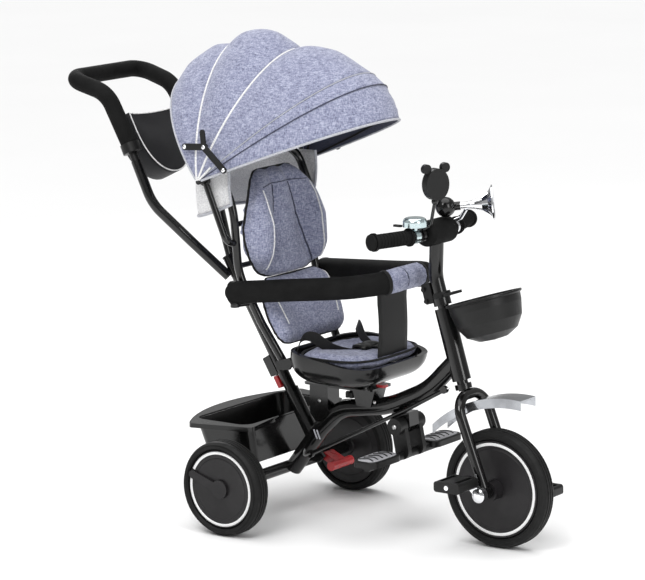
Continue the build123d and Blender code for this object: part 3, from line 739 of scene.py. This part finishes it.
rows = []
# The pad's section from below to above: share of the outline, and height
levels = [(0.0, -0.011), (0.5, -0.011), (0.9, -0.010), (1.0, -0.004), (1.0, 0.004), (0.94, 0.010),
          (0.8, 0.013), (0.5, 0.012), (0.2, 0.011), (0.0, 0.011)]
for share, height in levels:
    rows.append([seat_ring_point(2 * pi * i / SEAT_STEPS, 0.096, 0.126, height, max(share, 0.004))
                 for i in range(SEAT_STEPS)])
seat_pad = mesh_piece("seat_pad", joined(rows), grid_faces(len(rows), SEAT_STEPS, True), FABRIC)
puff(seat_pad, PAD_VOXEL, PAD_PRESSURE, 0.003)
fasten(seat_pad, "seat")
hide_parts("seat_cushion")
ring = [seat_ring_point(a, 0.0955, 0.1255, 0.007)
        for a in np.linspace(0, 2 * pi, 120, endpoint=False)]
fasten(line_piece("seat_pad_binding", ring, 0.0028, BINDING, closed=True), "seat")

# Lap belt, its buckle, and the broad strap up to the guard bar
near_belt = strap_piece(
    "belt_right", [(0.030, -0.108, 0.392), (0.036, -0.098, 0.414), (0.052, -0.084, 0.416),
                   (0.078, -0.064, 0.394), (0.104, -0.040, 0.384), (0.122, -0.026, 0.386)],
    [Vector((0.3, 0.1, 1)), Vector((1, 0.35, 0.25))], 0.025, WEBBING, 0.002)
far_belt = strap_piece(
    "belt_left", [(0.030, 0.108, 0.392), (0.040, 0.096, 0.410), (0.060, 0.074, 0.412),
                  (0.086, 0.052, 0.396), (0.112, 0.034, 0.390), (0.126, 0.024, 0.388)],
    [Vector((0.3, -0.1, 1)), Vector((1, -0.35, 0.25))], 0.025, WEBBING, 0.002)
front_belt = strap_piece(
    "belt_front", [(0.140, 0.0, 0.386), (0.160, 0.004, 0.392), (0.178, 0.006, 0.384),
                   (0.196, 0.004, 0.376)],
    [Vector((0, 1, 0)), Vector((0, 1, 0))], 0.028, WEBBING, 0.002)
outline = [(-0.020, 0.0), (-0.018, 0.006), (-0.010, 0.0085), (0.010, 0.0085), (0.018, 0.006), (0.020, 0.0)]
body_rows = []
for y, share in ((-0.030, 0.5), (-0.0285, 0.86), (-0.024, 1.0), (-0.008, 1.0), (-0.006, 0.9), (0.006, 0.9),
                 (0.008, 1.0), (0.024, 1.0), (0.0285, 0.86), (0.030, 0.5)):
    ring = [(x, z) for x, z in outline] + [(x, -z) for x, z in reversed(outline[1:-1])]
    body_rows.append([Vector((0.131 + x * share, y, 0.388 + z * share)) for x, z in ring])
buckle = mesh_piece("belt_buckle", joined(body_rows),
                    grid_faces(len(body_rows), len(body_rows[0]), True), PLASTIC)
for piece in (near_belt, far_belt, front_belt, buckle):
    fasten(piece, "seat")
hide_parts("seat_belt")

STRAP_STEPS = 24
strap_rows = []
for i in range(STRAP_STEPS + 1):
    t = i / STRAP_STEPS
    z = 0.368 + 0.158 * t
    x = 0.198 + 0.005 * sin(pi * t) + 0.02 * max(0.0, t - 0.8)
    wide = 0.053 - 0.002 * sin(pi * t)
    strap_rows.append([Vector((x + 0.002 * cos(u * pi * 0.5), u * wide, z))
                       for u in np.linspace(-1, 1, 9)])
strap = sheet_piece("crotch_panel", strap_rows, WEBBING, WEBBING, 0.0026)
fasten(strap, "seat")
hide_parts("crotch_strap")

# Foam covers on both halves of the guard bar, and the radius of the foam and of the sleeve
GUARD_FOAM, GUARD_SLEEVE = 0.0242, 0.0258
for name, path, body in (
    ("guard_foam_right", [(-0.100, -0.1637, 0.5092), (0.030, -0.1358, 0.5216), (0.150, -0.1100, 0.5330),
                          (0.200, -0.0920, 0.5402), (0.226, -0.0765, 0.5444), (0.2362, -0.0600, 0.5466),
                          (0.2385, -0.0480, 0.5472), (0.2400, -0.0292, 0.5480)], "guard_right"),
    ("guard_foam_left", [(-0.100, 0.1637, 0.5092), (0.030, 0.1358, 0.5216), (0.150, 0.1100, 0.5330),
                         (0.200, 0.0920, 0.5402), (0.226, 0.0765, 0.5444), (0.2362, 0.0600, 0.5466),
                         (0.2385, 0.0480, 0.5472), (0.2395, 0.0200, 0.5476),
                         (0.2400, -0.0276, 0.5480)], "guard_left"),
):
    fasten(line_piece(name, round_line(path, 8), GUARD_FOAM, FOAM), body)

# Linen sleeve round the middle of the guard bar, in two parts that open with its halves. Each has a
# black band at its outer end.
BAND = [(0.0245, -0.004), (0.0264, -0.003), (0.0270, 0.0), (0.0264, 0.003), (0.0245, 0.004)]
for name, path, body in (
    ("guard_sleeve_right", [(0.2325, -0.0690, 0.5457), (0.2362, -0.0600, 0.5466),
                            (0.2385, -0.0480, 0.5472), (0.2400, -0.0290, 0.5480)], "guard_right"),
    ("guard_sleeve_left", [(0.2400, -0.0278, 0.5480), (0.2392, 0.0, 0.5475),
                           (0.2385, 0.040, 0.5470)], "guard_left"),
):
    line = round_line(path, 8)
    sleeve = line_piece(name, line, GUARD_SLEEVE, FABRIC)
    fasten(sleeve, body)
    outer, inner = (line[0], line[1]) if body == "guard_right" else (line[-1], line[-2])
    band = spin_piece(name + "_binding", BAND, outer, (inner - outer).normalized(), BINDING, 48)
    fasten(band, body)


# ---------------------------------------------------------------- pouch

lean_ahead, lean_up = tilted(25.0)
POUCH_AT = Vector((-0.427, 0, 0.784))
POUCH_TOP, POUCH_HALF_DEPTH, POUCH_STEPS, POUCH_ROWS = 0.074, 0.0265, 60, 18


def pouch_outline(t):
    """Across and up along the pouch's U, t from one top corner round to the other."""
    a = pi * t
    y = -0.083 * cos(a) * (1 - 0.06 * sin(a))
    drop = sin(a) ** 0.62
    return y, POUCH_TOP - 0.147 * drop


gusset, face_front, face_back = [], [], []
for i in range(POUCH_STEPS + 1):
    y, z = pouch_outline(i / POUCH_STEPS)
    out = Vector((0, y, z * 0.6)).normalized()
    gusset.append([POUCH_AT + Vector((0, y, 0)) + lean_up * z + lean_ahead * x
                   + Vector((0, out.y, 0)) * 0.004 * cos(x / POUCH_HALF_DEPTH * pi / 2)
                   for x in np.linspace(-POUCH_HALF_DEPTH, POUCH_HALF_DEPTH, 7)])
for depth, dip, rows, bulge in ((POUCH_HALF_DEPTH, 0.010, face_front, 0.010),
                                (-POUCH_HALF_DEPTH, 0.003, face_back, -0.006)):
    for j in range(POUCH_ROWS + 1):
        share = j / POUCH_ROWS
        row = []
        for i in range(POUCH_STEPS + 1):
            y, z = pouch_outline(i / POUCH_STEPS)
            top = POUCH_TOP - dip * sin(pi * i / POUCH_STEPS)
            height = z + (top - z) * share
            crease = 0.003 * noise.noise(Vector((y * 22, height * 22, depth * 90)))
            swell = (bulge * sin(pi * i / POUCH_STEPS) * sin(pi * min(share, 0.8))
                     + crease * sin(pi * share))
            row.append(POUCH_AT + Vector((0, y, 0)) + lean_up * height
                       + lean_ahead * (depth + swell))
        rows.append(row)
parts = [sheet_piece("pouch_gusset", gusset, POUCH, POUCH, 0.0016),
         sheet_piece("pouch_front", face_front, POUCH, POUCH, 0.0016),
         sheet_piece("pouch_back", face_back, POUCH, POUCH, 0.0016)]
for piece, grid in zip(parts, (gusset, face_front, face_back)):
    fasten(piece, "handle")
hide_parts("handle_pouch")
for name, line in (
    ("pouch_piping_front", [point + lean_ahead * 0.001 for point in face_front[0]]),
    ("pouch_piping_top", [point + lean_ahead * 0.0005 for point in face_front[-1]]),
    ("pouch_piping_back", [point - lean_ahead * 0.001 for point in face_back[0]]),
):
    fasten(line_piece(name, line, 0.0014, PIPING), "handle")


# ---------------------------------------------------------------- wheels and metal detail


FRONT_HUB_X, FRONT_HUB_Z = 0.464, 0.125
REAR_HUB_X, REAR_HUB_Z, REAR_HALF_TRACK = -0.078, 0.102, 0.228


def white_line(name, x, z, face_y, side, inner, outer, body, arc=(0.0, 1.0)):
    """A thin painted ring on a wheel's side, over a share of the turn."""
    count = 120
    rows = []
    for radius, lift in ((inner, 0.0), (inner + 0.0004, 0.0006), (outer - 0.0004, 0.0006), (outer, 0.0)):
        rows.append([Vector((x + radius * cos(a), face_y + side * lift, z + radius * sin(a)))
                     for a in np.linspace(2 * pi * arc[0], 2 * pi * arc[1], count)])
    made = mesh_piece(name, joined(rows), grid_faces(len(rows), count), WHITE)
    if side > 0:
        made.data.flip_normals()
    fasten(made, body)


# The rear line has a gap of 16 degrees, centred at 161 degrees
REAR_LINE_ARC = (161 / 360 + 8 / 360, 161 / 360 + 352 / 360)
CRANK_CAP = [(0.0, 0.005), (0.006, 0.0046), (0.0115, 0.003), (0.0145, 0.0006), (0.0150, 0.0)]
for side, name in SIDES:
    white_line(f"front_wheel_line_{name}", FRONT_HUB_X, FRONT_HUB_Z, side * 0.0167, side,
               0.0920, 0.0982, "front_wheel")
    white_line(f"rear_wheel_line_{name}", REAR_HUB_X, REAR_HUB_Z, side * (REAR_HALF_TRACK + 0.0187),
               side, 0.0750, 0.0810, f"rear_wheel_{name}", REAR_LINE_ARC)
    cap = spin_piece(f"crank_cap_{name}", CRANK_CAP, (FRONT_HUB_X, side * 0.080, FRONT_HUB_Z),
                     (0, side, 0), CHROME, 40)
    fasten(cap, "cranks")

# Grey tops of the footrest's plates, with curved ribs
PLATE_X, PLATE_Y, PLATE_Z = 0.236, 0.114, 0.185
PLATE_POWER, PLATE_STEPS = 0.5, 40
for side, name in SIDES:
    rows = []
    for share, lift in ((1.0, 0.0), (0.985, 0.0012), (0.5, 0.0014), (0.02, 0.0014)):
        row = []
        for i in range(PLATE_STEPS):
            a = 2 * pi * i / PLATE_STEPS
            x = signed_power(cos(a), PLATE_POWER) * 0.0245
            y = signed_power(sin(a), PLATE_POWER) * 0.0475
            row.append(Vector((PLATE_X + x * share, side * PLATE_Y + y * share, PLATE_Z + lift)))
        rows.append(row)
    plate = mesh_piece(f"foot_plate_top_{name}", joined(rows),
                       grid_faces(len(rows), PLATE_STEPS, True), GREY_TOP)
    fasten(plate, "foot_rest")
    for k in range(5):
        y = side * PLATE_Y + (k - 2) * 0.017
        path = [(PLATE_X - 0.018, y - 0.006, 0.1868), (PLATE_X, y + 0.004, 0.1872),
                (PLATE_X + 0.018, y - 0.006, 0.1868)]
        rib = line_piece(f"foot_plate_rib_{name}_{k}", round_line(path, 6), 0.0014, PLASTIC)
        fasten(rib, "foot_rest")

# Bolt heads on the right side: centre, body and radius
BOLTS = [
    ((0.165, -0.0215, 0.275), "frame", 0.004),
    ((0.020, -0.0215, 0.262), "frame", 0.004),
    ((0.2321, -0.0460, 0.2340), "frame", 0.0055),
    ((0.462, -0.0625, 0.131), "front_assembly", 0.005),
]
BOLT_DOME = [(0.0, 0.55), (0.45, 0.5), (0.8, 0.3), (1.0, 0.0), (1.0, -0.3)]
for number, (at, body, radius) in enumerate(BOLTS):
    dome = [(out * radius, up * radius) for out, up in BOLT_DOME]
    fasten(spin_piece(f"bolt_{number}", dome, at, (0, -1, 0), STEEL, 20), body)

# Silver links at the steering rod's ends
for name, path, radius in (
    ("rod_link_front", [(0.350, -0.0335, 0.3265), (0.357, -0.0330, 0.3290),
                        (0.364, -0.0300, 0.3300)], 0.0019),
    ("rod_link_rear", [(0.004, -0.0370, 0.147), (-0.008, -0.0375, 0.141), (-0.016, -0.033, 0.143),
                       (-0.020, -0.024, 0.150)], 0.0022),
):
    fasten(line_piece(name, round_line(path, 8), radius, STEEL), "rod")

# Two pale stripes on the main beam
for number, x in enumerate((0.002, 0.010)):
    path = [(x, -0.0192, 0.196), (x + 0.004, -0.0192, 0.186), (x + 0.008, -0.0185, 0.176)]
    slant = [Vector((1, 0, 0.35)), Vector((1, 0, 0.35))]
    stripe = strap_piece(f"beam_stripe_{number}", path, slant, 0.0035, HEM, 0.0006)
    fasten(stripe, "frame")

# ---------------------------------------------------------------- floor, light, camera

# The photo's view: the point looked at, the angles of the camera, its distance and its lens
TARGET = Vector((0.0185, 0, 0.499))
AZIMUTH, ELEVATION, ROLL, AWAY = radians(36.7), radians(10.66), radians(-1.2), 6.5
LENS = 170.2

bpy.ops.mesh.primitive_plane_add(size=60, location=(0, 0, 0))
floor = bpy.context.object
floor.name = "floor"
ground, tree, shader = material("floor_pale", 0.9, specular=0.1)
pale = ramp(tree, object_noise(tree, 0.6), [(0.3, grey(0.86)), (0.7, grey(0.88))])
tree.links.new(pale, shader.inputs["Base Color"])
floor.data.materials.append(ground)

# The camera sees a white background; the light from it is much weaker
world = bpy.data.worlds.new("studio")
scene.world = world
world.use_nodes = True
sky = world.node_tree
path = node(sky, "ShaderNodeLightPath")
seen = node(sky, "ShaderNodeMapRange", {"To Min": 0.36, "To Max": 1.0})
sky.links.new(path.outputs["Is Camera Ray"], seen.inputs["Value"])
sky.links.new(seen.outputs["Result"], sky.nodes["Background"].inputs["Strength"])
sky.nodes["Background"].inputs["Color"].default_value = (1.0, 1.0, 1.0, 1)


def area_light(name, at, size, energy, towards=(0, 0, 0.5)):
    """A soft box that points at the tricycle's middle."""
    data = bpy.data.lights.new(name, "AREA")
    data.shape = "RECTANGLE"
    data.size, data.size_y = size
    data.energy = energy
    lamp = bpy.data.objects.new(name, data)
    scene.collection.objects.link(lamp)
    lamp.location = at
    lamp.rotation_euler = (Vector(towards) - Vector(at)).to_track_quat("-Z", "Y").to_euler()


area_light("key", (0.6, -2.6, 2.9), (1.6, 1.2), 55)
area_light("fill", (3.0, -0.9, 1.6), (1.0, 1.8), 28)
area_light("rim", (-2.4, 1.6, 2.2), (1.2, 1.6), 36)
even = bpy.data.objects.new("even", bpy.data.lights.new("even", "SUN"))
even.data.energy = 2.35
even.data.angle = radians(70)
scene.collection.objects.link(even)

camera_data = bpy.data.cameras.new("camera")
camera = bpy.data.objects.new("camera", camera_data)
scene.collection.objects.link(camera)
back = Vector((sin(AZIMUTH) * cos(ELEVATION), -cos(AZIMUTH) * cos(ELEVATION), sin(ELEVATION)))
right = Vector((cos(AZIMUTH), sin(AZIMUTH), 0))
above = back.cross(right)
turned_right = right * cos(ROLL) + above * sin(ROLL)
turned_up = -right * sin(ROLL) + above * cos(ROLL)
pose = Matrix((turned_right, turned_up, back)).transposed().to_4x4()
pose.translation = TARGET + back * AWAY
camera.matrix_world = pose
camera_data.lens = LENS
camera_data.sensor_width = 36
camera_data.clip_end = 100
scene.camera = camera
scene.view_settings.view_transform = "Standard"
